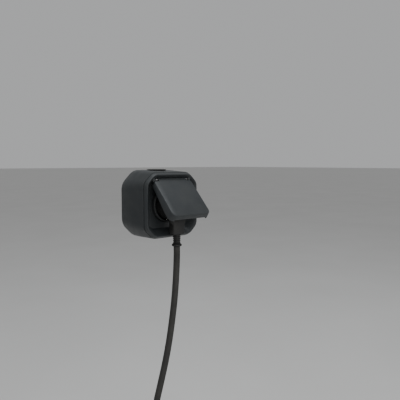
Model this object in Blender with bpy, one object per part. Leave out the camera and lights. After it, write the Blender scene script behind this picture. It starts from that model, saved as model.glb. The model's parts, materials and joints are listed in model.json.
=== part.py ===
"""Weatherproof wall socket outlet with a radio-switched relay, an angled plug in it and the plug's lead.

The origin is the middle of the face that lies on the wall. +Z is up, the front faces -Y and +X is to the right of
someone who faces it. Everything is in metres. The flap stands open on the plug, which is pushed fully home.
"""

import math

import bmesh
import bpy
from mathutils import Vector
from mathutils.geometry import interpolate_bezier

MM = 0.001
GAP = 0.3 * MM  # clearance between pieces that touch

# Outline shared by the box, the frame and the gasket: a square with cut corners
FRAME_HALF = 40.2 * MM
FRAME_CHAMFER = 12.3 * MM
CHAMFER_PER_INSET = 2.0 - math.sqrt(2.0)  # a parallel inset shortens the cut by this much
EASE = 5.0 * MM  # rounding of the outline's eight vertices
EASE_STEPS = 6
BOX_EASE = 8.0 * MM  # the same rounding at the wall

# Back box
BOX_WALL_HALF = 43.2 * MM
BOX_WALL_CHAMFER = 17.5 * MM
BOX_FRONT_HALF = 40.9 * MM
BOX_FRONT_CHAMFER = 13.2 * MM
BOX_FRONT_Y = -46.2 * MM
BOX_FLOOR = 2.4 * MM
BOX_WALL = 2.4 * MM
ENTRY_Y = -16.0 * MM
ENTRY_R = 11.2 * MM
TOWER_R = 3.4 * MM

# Front frame
FRAME_BACK_Y = -47.4 * MM
FRAME_Y = -51.4 * MM
RIM_BEVEL = 2.0 * MM
RIM_INNER_HALF = 35.0 * MM
RIM_INNER_Y = -49.4 * MM
TRAY_HALF = 29.2 * MM
TRAY_Y = -37.9 * MM
TRAY_THICK = 2.2 * MM
SPIGOT_HALF = 36.9 * MM
SPIGOT_Y = -43.4 * MM
SCREW_X = 12.5 * MM
SCREW_Z = 25.8 * MM
BUTTON = (16.5 * MM, -24.8 * MM)
BUTTON_R = 2.8 * MM
LIGHT_PIPE = (23.2 * MM, -24.0 * MM)
LIGHT_PIPE_R = 1.2 * MM

# Well and contacts
COLLAR_R = 22.3 * MM
COLLAR_Y = -42.5 * MM
WELL_R = 19.8 * MM
WELL_Y = -25.0 * MM
WELL_FLOOR = 1.8 * MM
PIN_X = 9.5 * MM
PIN_R = 2.4 * MM
PIN_LONG = 19.0 * MM
BASE_R = 21.5 * MM
BASE_FRONT_Y = WELL_Y + WELL_FLOOR + GAP
BASE_BACK_Y = -BOX_FLOOR - GAP
TERMINAL_X = 28.0 * MM
TERMINAL_FACE_Y = -20.5 * MM
WIRE_WAY_Y = -15.0 * MM
EARTH_CLIP_Z = 18.3 * MM

# Hinge and flap
HINGE_Y = -47.8 * MM
HINGE_Z = 31.6 * MM
PIN_HINGE_R = 0.9 * MM
BARREL_R = 2.0 * MM
BARREL_HALF = 20.8 * MM
LEAF_HALF = 6.5 * MM  # the leaf on the pin that lies under the flap
LEAF_LONG = 7.5 * MM
LEAF_LOW = 0.5 * MM
LEAF_HIGH = 1.25 * MM
LUG_X = (25.4 * MM, 28.7 * MM)
FLAP_REST_DEG = 45.0
FLAP_HALF = 28.0 * MM
FLAP_SKIRT_HALF = 30.2 * MM
FLAP_LONG = 59.0 * MM
FLAP_SKIRT = 7.0 * MM  # how far the side skirts reach behind the hinge axis
SKIRT_TOP = 3.0 * MM  # the same for the side skirts' shallow top ends
FLAP_LIP = 5.0 * MM  # the same for the bottom lip
FLAP_SHELL = 2.2 * MM

# Plug
HUB_R = 18.7 * MM
PLUG_FACE_Y = WELL_Y - GAP
NECK_Y = -59.2 * MM
NECK_HALF_X = 8.8 * MM
NECK_HALF_Y = 5.3 * MM
NECK_BOTTOM_Z = -35.4 * MM
RELIEF_Y = -58.6 * MM
RELIEF_END_Z = -51.0 * MM

# Lead: 8.2 mm, 1.5 m, the last part wound into a tied coil that hangs from it
CORD_R = 4.1 * MM
CORD_STEP = 2.6 * 2 * CORD_R
ROUTE = [
    (0.0, -58.6, -51.3), (0.0, -58.6, -62.0), (-0.3, -58.3, -75.4), (-1.2, -57.9, -94.4),
    (-3.1, -57.1, -119.8), (-6.0, -56.0, -145.1), (-9.7, -54.9, -170.4), (-14.5, -53.6, -195.4),
    (-20.3, -52.1, -220.2), (-25.9, -50.8, -242.4), (-28.6, -50.4, -254.0),
]
COIL_CENTRE = (-14.0 * MM, -54.2 * MM, -307.0 * MM)
COIL_MEAN_R = 41.0 * MM
COIL_RADIAL = 8.8 * MM
COIL_AXIAL = 17.6 * MM
TAIL = (-50.7 * MM, -40.8 * MM)  # x and y of the straight end
TAIL_END_Z = -358.0 * MM
CONNECTOR_TOP_Z = -381.0 * MM
CONNECTOR_LONG = 27.0 * MM

FINISHES = {
    "anthracite": ((0.026, 0.028, 0.029), 0.45, 0.0),
    "anthracite_inner": ((0.016, 0.017, 0.018), 0.5, 0.0),
    "seal_rubber": ((0.010, 0.010, 0.011), 0.75, 0.0),
    "plug_rubber": ((0.014, 0.014, 0.014), 0.6, 0.0),
    "cord_rubber": ((0.022, 0.021, 0.020), 0.65, 0.0),
    "base_plastic": ((0.62, 0.60, 0.55), 0.5, 0.0),
    "brass": ((0.72, 0.53, 0.22), 0.3, 1.0),
    "nickel": ((0.66, 0.65, 0.62), 0.25, 1.0),
    "steel": ((0.55, 0.55, 0.56), 0.3, 1.0),
    "board_green": ((0.02, 0.12, 0.05), 0.5, 0.0),
    "part_black": ((0.02, 0.02, 0.02), 0.5, 0.0),
    "relay_blue": ((0.03, 0.10, 0.35), 0.45, 0.0),
    "lamp_clear": ((0.75, 0.80, 0.78), 0.15, 0.0),
    "wire_brown": ((0.16, 0.06, 0.02), 0.5, 0.0),
    "wire_blue": ((0.03, 0.10, 0.35), 0.5, 0.0),
}


# ---------------------------------------------------------------- making and joining solids


def finish(name):
    """The Principled material of one of FINISHES, made the first time that it is asked for."""
    made = bpy.data.materials.get(name)
    if made is None:
        colour, roughness, metallic = FINISHES[name]
        made = bpy.data.materials.new(name)
        made.use_nodes = True
        shader = made.node_tree.nodes["Principled BSDF"]
        shader.inputs["Base Color"].default_value = (*colour, 1.0)
        shader.inputs["Roughness"].default_value = roughness
        shader.inputs["Metallic"].default_value = metallic
    return made


def solid(name, points, faces, material, smooth=True):
    """An object from points and faces, with its faces turned outwards."""
    mesh = bpy.data.meshes.new(name)
    mesh.from_pydata([tuple(p) for p in points], [], faces)
    shape = bmesh.new()
    shape.from_mesh(mesh)
    bmesh.ops.recalc_face_normals(shape, faces=shape.faces)
    shape.to_mesh(mesh)
    shape.free()
    if smooth:
        mesh.shade_smooth()
        mesh.set_sharp_from_angle(angle=math.radians(35.0))
    mesh.materials.append(finish(material))
    made = bpy.data.objects.new(name, mesh)
    bpy.context.scene.collection.objects.link(made)
    return made


def ring_faces(first, second, count):
    """Quads between two rings of points that start at the indices first and second."""
    return [
        (first + i, first + (i + 1) % count, second + (i + 1) % count, second + i) for i in range(count)
    ]


def loft(name, rings, material, closed=False, smooth=True):
    """A solid through rings of equal count. Its ends are capped, or the last ring meets the first."""
    count = len(rings[0])
    points = [p for ring in rings for p in ring]
    faces = []
    for k in range(len(rings) - 1):
        faces += ring_faces(k * count, (k + 1) * count, count)
    last = (len(rings) - 1) * count
    if closed:
        faces += ring_faces(last, 0, count)
    else:
        faces += [tuple(range(count)), tuple(range(last, last + count))]
    return solid(name, points, faces, material, smooth)


def circle(radius, count, place):
    """A ring of points; place turns (a, b) in the circle's plane into a point."""
    turns = [2.0 * math.pi * i / count for i in range(count)]
    return [place(radius * math.cos(t), radius * math.sin(t)) for t in turns]


def turned_y(name, profile, material, count=40, centre=(0.0, 0.0), closed=False):
    """A solid turned about a line along Y through centre (x, z); profile lists (radius, y)."""
    cx, cz = centre
    rings = [
        circle(r, count, lambda a, b, y=y: Vector((cx + a, y, cz + b))) for r, y in profile
    ]
    return loft(name, rings, material, closed)


def turned_z(name, profile, material, count=24, centre=(0.0, 0.0), closed=False):
    """A solid turned about a vertical line through centre (x, y); profile lists (radius, z)."""
    cx, cy = centre
    rings = [
        circle(r, count, lambda a, b, z=z: Vector((cx + a, cy + b, z))) for r, z in profile
    ]
    return loft(name, rings, material, closed)


def turned_x(name, profile, material, count=16, centre=(0.0, 0.0), closed=False):
    """A solid turned about a line along X through centre (y, z); profile lists (radius, x)."""
    cy, cz = centre
    rings = [
        circle(r, count, lambda a, b, x=x: Vector((x, cy + a, cz + b))) for r, x in profile
    ]
    return loft(name, rings, material, closed)


def box(name, low, high, material="part_black"):
    """A plain block between two corners."""
    (x0, y0, z0), (x1, y1, z1) = low, high
    rings = [
        [Vector((x, y, z)) for x, y in ((x0, y0), (x1, y0), (x1, y1), (x0, y1))] for z in (z0, z1)
    ]
    return loft(name, rings, material, smooth=False)


def millimetres(low, high):
    """Two corners given in millimetres, as metres."""
    return tuple(v * MM for v in low), tuple(v * MM for v in high)


def tube(name, path, radius, material, count=8):
    """A round bar along a path of points, its ring turned as little as the path allows."""
    path = [Vector(p) for p in path]
    along = [(path[min(i + 1, len(path) - 1)] - path[max(i - 1, 0)]).normalized() for i in range(len(path))]
    side = along[0].orthogonal().normalized()
    rings = []
    for here, way in zip(path, along):
        side = (side - way * side.dot(way)).normalized()
        up = way.cross(side)
        rings.append(circle(radius, count, lambda a, b, h=here, s=side, u=up: h + s * a + u * b))
    return loft(name, rings, material)


def spring_path(centre, axis, radius, start, end, turns, per_turn=12):
    """Points of a helix about a line along axis (0, 1 or 2) through centre."""
    steps = int(turns * per_turn)
    path = []
    for i in range(steps + 1):
        angle = 2.0 * math.pi * i / per_turn
        point = list(centre)
        point[axis] = start + (end - start) * i / steps
        point[(axis + 1) % 3] += radius * math.cos(angle)
        point[(axis + 2) % 3] += radius * math.sin(angle)
        path.append(Vector(point))
    return path


def combine(target, tool, operation):
    """A live Boolean of target with a tool that stays out of the model."""
    tool.hide_render = True
    tool.display_type = "WIRE"
    step = target.modifiers.new(f"{operation.lower()}_{tool.name}"[:60], "BOOLEAN")
    step.operation = operation
    step.solver = "EXACT"
    step.object = tool
    return target


def cut(target, tool):
    return combine(target, tool, "DIFFERENCE")


def join(target, tool):
    return combine(target, tool, "UNION")


def bore_y(name, centre, radius, y0, y1, count=20):
    """A cutter along Y."""
    return turned_y(name, [(radius, y0), (radius, y1)], "part_black", count, centre)


def chamfer_at(half):
    """The frame's corner cut after a parallel inset from its outside to half."""
    return FRAME_CHAMFER - CHAMFER_PER_INSET * (FRAME_HALF - half)


def outline(half, y, chamfer=None, ease=EASE):
    """The square outline with cut and eased corners, as a ring in the plane at y."""
    chamfer = chamfer_at(half) if chamfer is None else chamfer
    reach = half - chamfer
    ease = min(ease, 0.6 * chamfer)
    corners = [
        (half, -reach), (half, reach), (reach, half), (-reach, half),
        (-half, reach), (-half, -reach), (-reach, -half), (reach, -half),
    ]
    ring = []
    for i, corner in enumerate(corners):
        here = Vector(corner)
        before = here + (Vector(corners[i - 1]) - here).normalized() * ease
        after = here + (Vector(corners[(i + 1) % 8]) - here).normalized() * ease
        for step in range(EASE_STEPS + 1):
            t = step / EASE_STEPS
            p = (1 - t) ** 2 * before + 2 * t * (1 - t) * here + t * t * after
            ring.append(Vector((p.x, y, p.y)))
    return ring


def rounded(half_a, half_b, corner, place, steps=4):
    """A rectangle with round corners, 2 half_a by 2 half_b; place turns (a, b) into a point."""
    ring = []
    for k, (sa, sb) in enumerate(((1, 1), (-1, 1), (-1, -1), (1, -1))):
        for step in range(steps + 1):
            angle = 0.5 * math.pi * (k + step / steps)
            a = sa * (half_a - corner) + corner * math.cos(angle)
            b = sb * (half_b - corner) + corner * math.sin(angle)
            ring.append(place(a, b))
    return ring


# ---------------------------------------------------------------- housing


def back_box():
    inner_front = BOX_FRONT_HALF - BOX_WALL
    inner_back = BOX_WALL_HALF - BOX_WALL
    shell = loft("back_box", [
        outline(BOX_WALL_HALF, 0.0, BOX_WALL_CHAMFER, BOX_EASE),
        outline(BOX_WALL_HALF - 0.3 * MM, -14.0 * MM, BOX_WALL_CHAMFER - 1.0 * MM, BOX_EASE),
        outline(BOX_FRONT_HALF, BOX_FRONT_Y, BOX_FRONT_CHAMFER),
        outline(inner_front, BOX_FRONT_Y, BOX_FRONT_CHAMFER - CHAMFER_PER_INSET * BOX_WALL),
        outline(inner_back, -BOX_FLOOR, BOX_WALL_CHAMFER - CHAMFER_PER_INSET * BOX_WALL, BOX_EASE),
    ], "anthracite")
    top = TRAY_Y + TRAY_THICK + GAP
    for side in (-1, 1):
        centre = (side * SCREW_X, SCREW_Z)
        tower = turned_y(f"tower_{side}", [(TOWER_R, -BOX_FLOOR * 0.5), (TOWER_R, top)],
                         "anthracite", 20, centre)
        join(shell, tower)
    for side in (-1, 1):
        cut(shell, bore_y(f"tower_bore_{side}", (side * SCREW_X, SCREW_Z), 1.7 * MM, -19.0 * MM, -53.0 * MM))
    for side in (-1, 1):
        entry = turned_z(f"entry_bore_{side}", [(ENTRY_R, side * 36.0 * MM), (ENTRY_R, side * 46.0 * MM)],
                         "part_black", 32, (0.0, ENTRY_Y))
        cut(shell, entry)
        wall_hole = bore_y(f"wall_hole_{side}", (side * -31.0 * MM, side * 12.0 * MM), 2.3 * MM,
                           -8.0 * MM, 2.0 * MM)
        cut(shell, wall_hole)


def entries():
    """The open grommet in the top entry and the blank in the bottom one."""
    hole = ENTRY_R - GAP
    outer, inner = 43.3 * MM, 39.2 * MM
    turned_z("entry_grommet", [
        (hole, outer), (12.6 * MM, outer), (12.6 * MM, outer + 0.5 * MM), (10.2 * MM, outer + 0.9 * MM),
        (10.2 * MM, inner), (hole - 0.4 * MM, inner - 0.8 * MM), (hole, inner),
    ], "seal_rubber", 32, (0.0, ENTRY_Y), closed=True)
    turned_z("entry_blank", [
        (8.4 * MM, -inner + 1.6 * MM), (hole, -inner + 1.6 * MM), (hole, -outer), (12.6 * MM, -outer),
        (12.6 * MM, -outer - 0.6 * MM), (8.4 * MM, -outer - 0.9 * MM),
    ], "anthracite", 32, (0.0, ENTRY_Y))


def box_gasket():
    outer = BOX_FRONT_HALF - BOX_WALL - GAP
    outer_cut = BOX_FRONT_CHAMFER - CHAMFER_PER_INSET * (BOX_WALL + GAP)
    inner = SPIGOT_HALF + GAP
    back, front = SPIGOT_Y - 0.6 * MM, FRAME_BACK_Y + GAP
    loft("box_gasket", [
        outline(outer, back, outer_cut), outline(outer, front, outer_cut),
        outline(inner, front), outline(inner, back),
    ], "seal_rubber", closed=True)


def front_frame():
    rear = TRAY_HALF + 1.8 * MM
    frame = loft("front_frame", [
        outline(rear, TRAY_Y + TRAY_THICK),
        outline(SPIGOT_HALF, SPIGOT_Y),
        outline(SPIGOT_HALF, FRAME_BACK_Y),
        outline(FRAME_HALF, FRAME_BACK_Y),
        outline(FRAME_HALF - 0.6 * RIM_BEVEL, FRAME_Y + 1.4 * MM),
        outline(FRAME_HALF - RIM_BEVEL, FRAME_Y),
        outline(FRAME_HALF - RIM_BEVEL - 0.8 * MM, FRAME_Y),
        outline(RIM_INNER_HALF, RIM_INNER_Y),
        outline(TRAY_HALF, TRAY_Y),
    ], "anthracite")
    for side in (-1, 1):
        low, high = sorted((side * LUG_X[0], side * LUG_X[1]))
        lug = box(f"lug_{side}", (low, HINGE_Y - BARREL_R, HINGE_Z - 2.2 * MM),
                  (high, -40.5 * MM, HINGE_Z + 2.0 * MM))
        join(frame, lug)
    cut(frame, turned_x("hinge_bore", [(1.2 * MM, -29.3 * MM), (1.2 * MM, 29.3 * MM)], "part_black", 16,
                        (HINGE_Y, HINGE_Z)))
    cut(frame, bore_y("well_opening", (0.0, 0.0), COLLAR_R + 2 * GAP, -33.0 * MM, -53.0 * MM, 64))
    holes = [((side * SCREW_X, SCREW_Z), 1.8 * MM) for side in (-1, 1)]
    holes += [(BUTTON, BUTTON_R + GAP), (LIGHT_PIPE, LIGHT_PIPE_R + GAP)]
    for k, (centre, radius) in enumerate(holes):
        cut(frame, bore_y(f"tray_hole_{k}", centre, radius, -33.0 * MM, -42.0 * MM))


def cross_slot(name, centre, y0, y1, width, long):
    """The cutter of a screw head's slot."""
    x, z = centre
    return box(name, (x - width / 2, y0, z - long / 2), (x + width / 2, y1, z + long / 2))


def frame_screws():
    for side, word in ((-1, "left"), (1, "right")):
        centre = (side * SCREW_X, SCREW_Z)
        head = TRAY_Y - GAP
        screw = turned_y(f"frame_screw_{word}", [
            (1.4 * MM, -21.0 * MM), (1.4 * MM, head), (2.8 * MM, head), (2.8 * MM, head - 1.3 * MM),
            (2.1 * MM, head - 1.9 * MM),
        ], "steel", 20, centre)
        cut(screw, cross_slot(f"frame_slot_{word}", centre, head - 3.0 * MM, head - 1.0 * MM,
                              0.8 * MM, 7.0 * MM))


# ---------------------------------------------------------------- socket


def earth_path_boxes(tag, spare):
    """The two arm slots of the earth bracket, as cutters with the given clearance."""
    made = []
    for side, word in ((-1, "low"), (1, "high")):
        z0, z1 = sorted((side * (EARTH_CLIP_Z - spare), side * (EARTH_CLIP_Z + 0.8 * MM + spare)))
        made.append(box(f"{tag}_{word}", (-2.2 * MM - spare, -33.0 * MM, z0), (2.2 * MM + spare, 0.0, z1)))
    return made


def socket_insert():
    floor_back = WELL_Y + WELL_FLOOR
    insert = turned_y("socket_insert", [
        (BASE_R - 0.2 * MM, floor_back), (BASE_R - 0.2 * MM, -33.8 * MM), (24.8 * MM, -33.8 * MM),
        (24.8 * MM, -35.4 * MM), (COLLAR_R, -35.4 * MM), (COLLAR_R, COLLAR_Y + 0.8 * MM),
        (COLLAR_R - 0.8 * MM, COLLAR_Y), (WELL_R + 0.4 * MM, COLLAR_Y), (WELL_R, COLLAR_Y + 0.6 * MM),
        (WELL_R, WELL_Y),
    ], "anthracite_inner", 64)
    for side in (-1, 1):
        cut(insert, bore_y(f"pin_hole_{side}", (side * PIN_X, 0.0), 3.0 * MM, -33.0 * MM, -18.0 * MM))
    for slot in earth_path_boxes("insert_slot", GAP):
        cut(insert, slot)


def socket_base():
    base = turned_y("socket_base", [(BASE_R, BASE_FRONT_Y), (BASE_R, BASE_BACK_Y)], "base_plastic", 48)
    for side in (-1, 1):
        cut(base, bore_y(f"contact_hole_{side}", (side * PIN_X, 0.0), 4.3 * MM, -28.0 * MM, 0.0, 24))
        low, high = sorted((side * 11.0 * MM, side * 24.0 * MM))
        cut(base, box(f"tongue_slot_{side}", (low, -19.4 * MM, -2.6 * MM), (high, -16.2 * MM, 2.6 * MM)))
    for slot in earth_path_boxes("base_slot", GAP):
        cut(base, slot)
    cut(base, box("cross_groove", *millimetres((-2.5, -4.5, -19.4), (2.5, 0.0, 26.0))))
    cut(base, box("shutter_pocket", *millimetres((-15.0, -27.0, -5.0), (20.0, -21.0, 5.0))))


def contacts():
    """Each contact is a sleeve round its pin, a tongue and a terminal cage with its screw."""
    for side, word in ((-1, "live"), (1, "neutral")):
        sleeve = turned_y(f"contact_{word}", [
            (2.7 * MM, -20.6 * MM), (3.9 * MM, -20.6 * MM), (3.9 * MM, -6.6 * MM), (2.7 * MM, -6.6 * MM),
        ], "brass", 24, (side * PIN_X, 0.0), closed=True)
        low, high = sorted((side * 12.8 * MM, side * 25.0 * MM))
        join(sleeve, box(f"tongue_{word}", (low, -18.4 * MM, -2.0 * MM), (high, -17.2 * MM, 2.0 * MM)))
        cage = box(f"cage_{word}", (side * TERMINAL_X - 3.6 * MM, TERMINAL_FACE_Y, -3.8 * MM),
                   (side * TERMINAL_X + 3.6 * MM, TERMINAL_FACE_Y + 8.5 * MM, 3.8 * MM))
        join(sleeve, cage)
        cut(sleeve, turned_z(f"wire_way_{word}", [(1.7 * MM, -6.0 * MM), (1.7 * MM, 6.0 * MM)],
                             "part_black", 12, (side * TERMINAL_X, WIRE_WAY_Y)))
        terminal(word, (side * TERMINAL_X, 0.0), sleeve, TERMINAL_FACE_Y)


def terminal(word, centre, cage, face):
    """A terminal screw that enters its cage from the front, and the bore for it."""
    cut(cage, bore_y(f"screw_way_{word}", centre, 1.75 * MM, face - 2.0 * MM, face + 4.0 * MM, 14))
    screw = turned_y(f"terminal_screw_{word}", [
        (1.45 * MM, face + 3.4 * MM), (1.45 * MM, face - GAP), (2.4 * MM, face - GAP),
        (2.4 * MM, face - 1.6 * MM),
    ], "nickel", 16, centre)
    cut(screw, cross_slot(f"terminal_slot_{word}", centre, face - 3.0 * MM, face - 0.9 * MM,
                          0.7 * MM, 6.0 * MM))


def earth_bracket():
    """A strap behind the base whose two arms end as clips in the well, and its terminal."""
    strap = box("earth_bracket", *millimetres((-2.2, -4.0, -19.1), (2.2, -3.2, 27.0)), "nickel")
    for side, word in ((-1, "low"), (1, "high")):
        z0, z1 = sorted((side * EARTH_CLIP_Z, side * (EARTH_CLIP_Z + 0.8 * MM)))
        join(strap, box(f"earth_arm_{word}", (-2.2 * MM, -40.0 * MM, z0), (2.2 * MM, -3.4 * MM, z1)))
    join(strap, box("earth_cage", *millimetres((-3.8, -12.0, 24.0), (3.8, -3.0, 31.5))))
    cut(strap, box("earth_wire_way", *millimetres((-6.0, -8.6, 26.2), (6.0, -5.4, 29.4))))
    terminal("earth", (0.0, 27.8 * MM), strap, -12.0 * MM)


def shutter():
    """A plate pushed aside by the pins, and the spring that brings it back."""
    plate = box("shutter", *millimetres((-14.0, -22.6, -4.4), (14.0, -21.3, 4.4)), "part_black")
    for side in (-1, 1):
        x = side * PIN_X
        cut(plate, box(f"shutter_slot_{side}", (x - 2.9 * MM, -24.0 * MM, -2.9 * MM),
                       (x + 2.9 * MM, -20.0 * MM, 2.9 * MM)))
    path = spring_path((0.0, -21.95 * MM, 0.0), 0, 0.4 * MM, 14.5 * MM, 19.4 * MM, 5, 8)
    tube("shutter_spring", path, 0.14 * MM, "steel", 5)


# ---------------------------------------------------------------- electronics


def electronics():
    board = box("circuit_board", *millimetres((-27.0, -10.6, -36.6), (27.0, -9.0, -23.2)), "board_green")
    cut(board, turned_z("board_relief", [(13.2 * MM, -38.0 * MM), (13.2 * MM, -35.4 * MM)], "part_black",
                        32, (0.0, ENTRY_Y)))
    box("relay", *millimetres((-26.0, -26.0, -34.0), (-8.0, -10.9, -24.2)), "relay_blue")
    box("mains_transformer", *millimetres((-6.6, -22.0, -34.8), (6.6, -10.9, -24.0)), "part_black")
    turned_y("capacitor", [(3.0 * MM, -10.9 * MM), (3.0 * MM, -22.0 * MM), (2.6 * MM, -22.4 * MM)],
             "part_black", 20, (10.6 * MM, -31.6 * MM))
    box("radio_module", *millimetres((14.4, -13.4, -36.0), (26.4, -10.9, -29.6)), "nickel")
    x, z = BUTTON
    switch = box("push_switch", (x - 2.9 * MM, -14.4 * MM, z - 3.6 * MM),
                 (x + 2.9 * MM, -10.9 * MM, z + 1.5 * MM))
    join(switch, bore_y("switch_stem", BUTTON, 1.3 * MM, -14.0 * MM, -15.4 * MM, 16))
    x, z = LIGHT_PIPE
    turned_y("status_lamp", [(1.5 * MM, -10.9 * MM), (1.5 * MM, -12.6 * MM), (0.9 * MM, -13.6 * MM)],
             "lamp_clear", 16, (x, z - 0.6 * MM))
    turned_y("light_pipe", [(1.0 * MM, -14.0 * MM), (LIGHT_PIPE_R, -20.0 * MM), (LIGHT_PIPE_R, -38.2 * MM),
                            (0.8 * MM, -38.6 * MM)], "lamp_clear", 16, LIGHT_PIPE)


def push_button():
    """A cap in the tray with a long stem that reaches the switch, and its return spring."""
    turned_y("push_button", [
        (1.1 * MM, -16.8 * MM), (1.1 * MM, -33.2 * MM), (3.9 * MM, -33.2 * MM), (3.9 * MM, -34.4 * MM),
        (BUTTON_R, -34.4 * MM), (BUTTON_R, -39.6 * MM), (BUTTON_R - 0.6 * MM, -40.1 * MM),
    ], "anthracite_inner", 24, BUTTON)
    x, z = BUTTON
    path = spring_path((x, 0.0, z), 1, 2.3 * MM, -15.0 * MM, -31.8 * MM, 5, 10)
    tube("button_spring", path, 0.25 * MM, "steel", 5)


def link_wires():
    """The relay's output to the live terminal, and the board's neutral."""
    for side, word, colour in ((-1, "live", "wire_brown"), (1, "neutral", "wire_blue")):
        x = side * TERMINAL_X
        knots = [(x, -15.0, -4.4), (x, -15.0, -9.0), (side * 29.4 * MM, -15.4, -15.0),
                 (side * 27.6 * MM, -15.0, -19.5), (side * 25.4 * MM, -12.6, -22.6)]
        path = smooth_route([Vector((a, b * MM, c * MM)) for a, b, c in knots], 2.2 * MM)
        tube(f"link_wire_{word}", path, 1.2 * MM, colour, 8)


# ---------------------------------------------------------------- flap, in coordinates about the hinge axis


def on_hinge(made):
    """Turns a piece that was modelled closed, about the origin, to the flap's place on the plug."""
    made.location = (0.0, HINGE_Y, HINGE_Z)
    made.rotation_euler = (-math.radians(FLAP_REST_DEG), 0.0, 0.0)
    return made


def flap_ring(half, top, bottom, behind, corner):
    """A ring of the flap: half its width, top and bottom below the axis, and its place behind the axis."""
    middle, tall = (top + bottom) / 2, (bottom - top) / 2
    return rounded(half, tall, corner, lambda a, b: Vector((a, behind, b - middle)), 5)


def flap():
    front = -BARREL_R
    inner = front + FLAP_SHELL
    skirt = FLAP_SKIRT
    wall = 1.8 * MM
    cover = on_hinge(loft("flap_cover", [
        flap_ring(FLAP_HALF - wall, 2.6 * MM, FLAP_LONG - wall, inner, 5.0 * MM),
        flap_ring(FLAP_SKIRT_HALF - wall, 2.6 * MM, FLAP_LONG + 0.6 * MM - wall, skirt, 6.0 * MM),
        flap_ring(FLAP_SKIRT_HALF, 0.8 * MM, FLAP_LONG + 0.6 * MM, skirt, 7.0 * MM),
        flap_ring(FLAP_HALF + 0.9 * MM, 0.6 * MM, FLAP_LONG, front + 1.6 * MM, 6.6 * MM),
        flap_ring(FLAP_HALF, 1.0 * MM, FLAP_LONG - 0.4 * MM, front + 0.3 * MM, 6.0 * MM),
        flap_ring(FLAP_HALF - 0.8 * MM, 1.6 * MM, FLAP_LONG - 1.2 * MM, front, 5.4 * MM),
    ], "anthracite"))
    cut(cover, on_hinge(box("lip_notch", (-24.0 * MM, FLAP_LIP, -80.0 * MM),
                            (24.0 * MM, 20.0 * MM, -50.0 * MM))))
    cut(cover, on_hinge(box("hinge_room", (-40.0 * MM, inner, -5.2 * MM),
                            (40.0 * MM, 20.0 * MM, 10.0 * MM))))
    for side in (-1, 1):
        x0, x1 = sorted((side * (BARREL_HALF + 0.2 * MM), side * 40.0 * MM))
        cut(cover, on_hinge(box(f"lug_room_{side}", (x0, -20.0 * MM, -3.9 * MM),
                                (x1, 20.0 * MM, 10.0 * MM))))
    taper = [
        (SKIRT_TOP, 2.0 * MM), (20.0 * MM, 2.0 * MM), (20.0 * MM, -48.0 * MM), (FLAP_SKIRT + GAP, -48.0 * MM),
    ]
    cut(cover, on_hinge(loft("skirt_taper", [
        [Vector((x, y, z)) for y, z in taper] for x in (-40.0 * MM, 40.0 * MM)
    ], "part_black", smooth=False)))
    join(cover, on_hinge(turned_x("barrel", [(BARREL_R, -BARREL_HALF), (BARREL_R, BARREL_HALF)],
                                  "anthracite", 24)))
    cut(cover, on_hinge(turned_x("barrel_bore", [(PIN_HINGE_R + GAP, -30.0 * MM),
                                                 (PIN_HINGE_R + GAP, 30.0 * MM)], "part_black", 16)))
    cut(cover, on_hinge(box("leaf_slot", (-LEAF_HALF - GAP, LEAF_LOW - 0.2 * MM, -2.4 * MM),
                            (LEAF_HALF + GAP, 3.0 * MM, 3.0 * MM))))
    seal_back = inner + GAP
    centre = (0.0, -HINGE_Z)
    on_hinge(turned_y("flap_gasket", [
        (19.6 * MM, seal_back), (22.0 * MM, seal_back), (22.0 * MM, seal_back + 3.6 * MM),
        (21.2 * MM, seal_back + 4.3 * MM), (20.4 * MM, seal_back + 4.3 * MM), (19.6 * MM, seal_back + 3.6 * MM),
    ], "seal_rubber", 40, centre, closed=True))


def hinge():
    """The pin, weighted by a small leaf under the flap, and the two springs that close the flap."""
    pin = turned_x("hinge_pin", [
        (0.6 * MM, -29.0 * MM), (PIN_HINGE_R, -28.6 * MM), (PIN_HINGE_R, 28.6 * MM), (0.6 * MM, 29.0 * MM),
    ], "steel", 16, (HINGE_Y, HINGE_Z))
    join(pin, on_hinge(box("leaf", (-LEAF_HALF, LEAF_LOW, -LEAF_LONG), (LEAF_HALF, LEAF_HIGH, 0.0))))
    for side, word in ((-1, "left"), (1, "right")):
        coil = spring_path((0.0, HINGE_Y, HINGE_Z), 0, 1.35 * MM, side * 21.2 * MM, side * 23.2 * MM, 3.75, 10)
        end = coil[-1]
        leg = [end + Vector((0.0, 0.3 * MM, -1.2 * MM)), end + Vector((0.0, 0.9 * MM, -3.4 * MM))]
        tube(f"flap_spring_{word}", coil + leg, 0.22 * MM, "steel", 5)


# ---------------------------------------------------------------- plug


def plug_ring(half, top, bottom, corner, y):
    """A ring of the plug's head: half its width, its top and bottom, and its corner radius."""
    middle, tall = (top + bottom) / 2, (top - bottom) / 2
    return rounded(half, tall, min(corner, half, tall), lambda a, b: Vector((a, y, middle + b)), 6)


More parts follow.
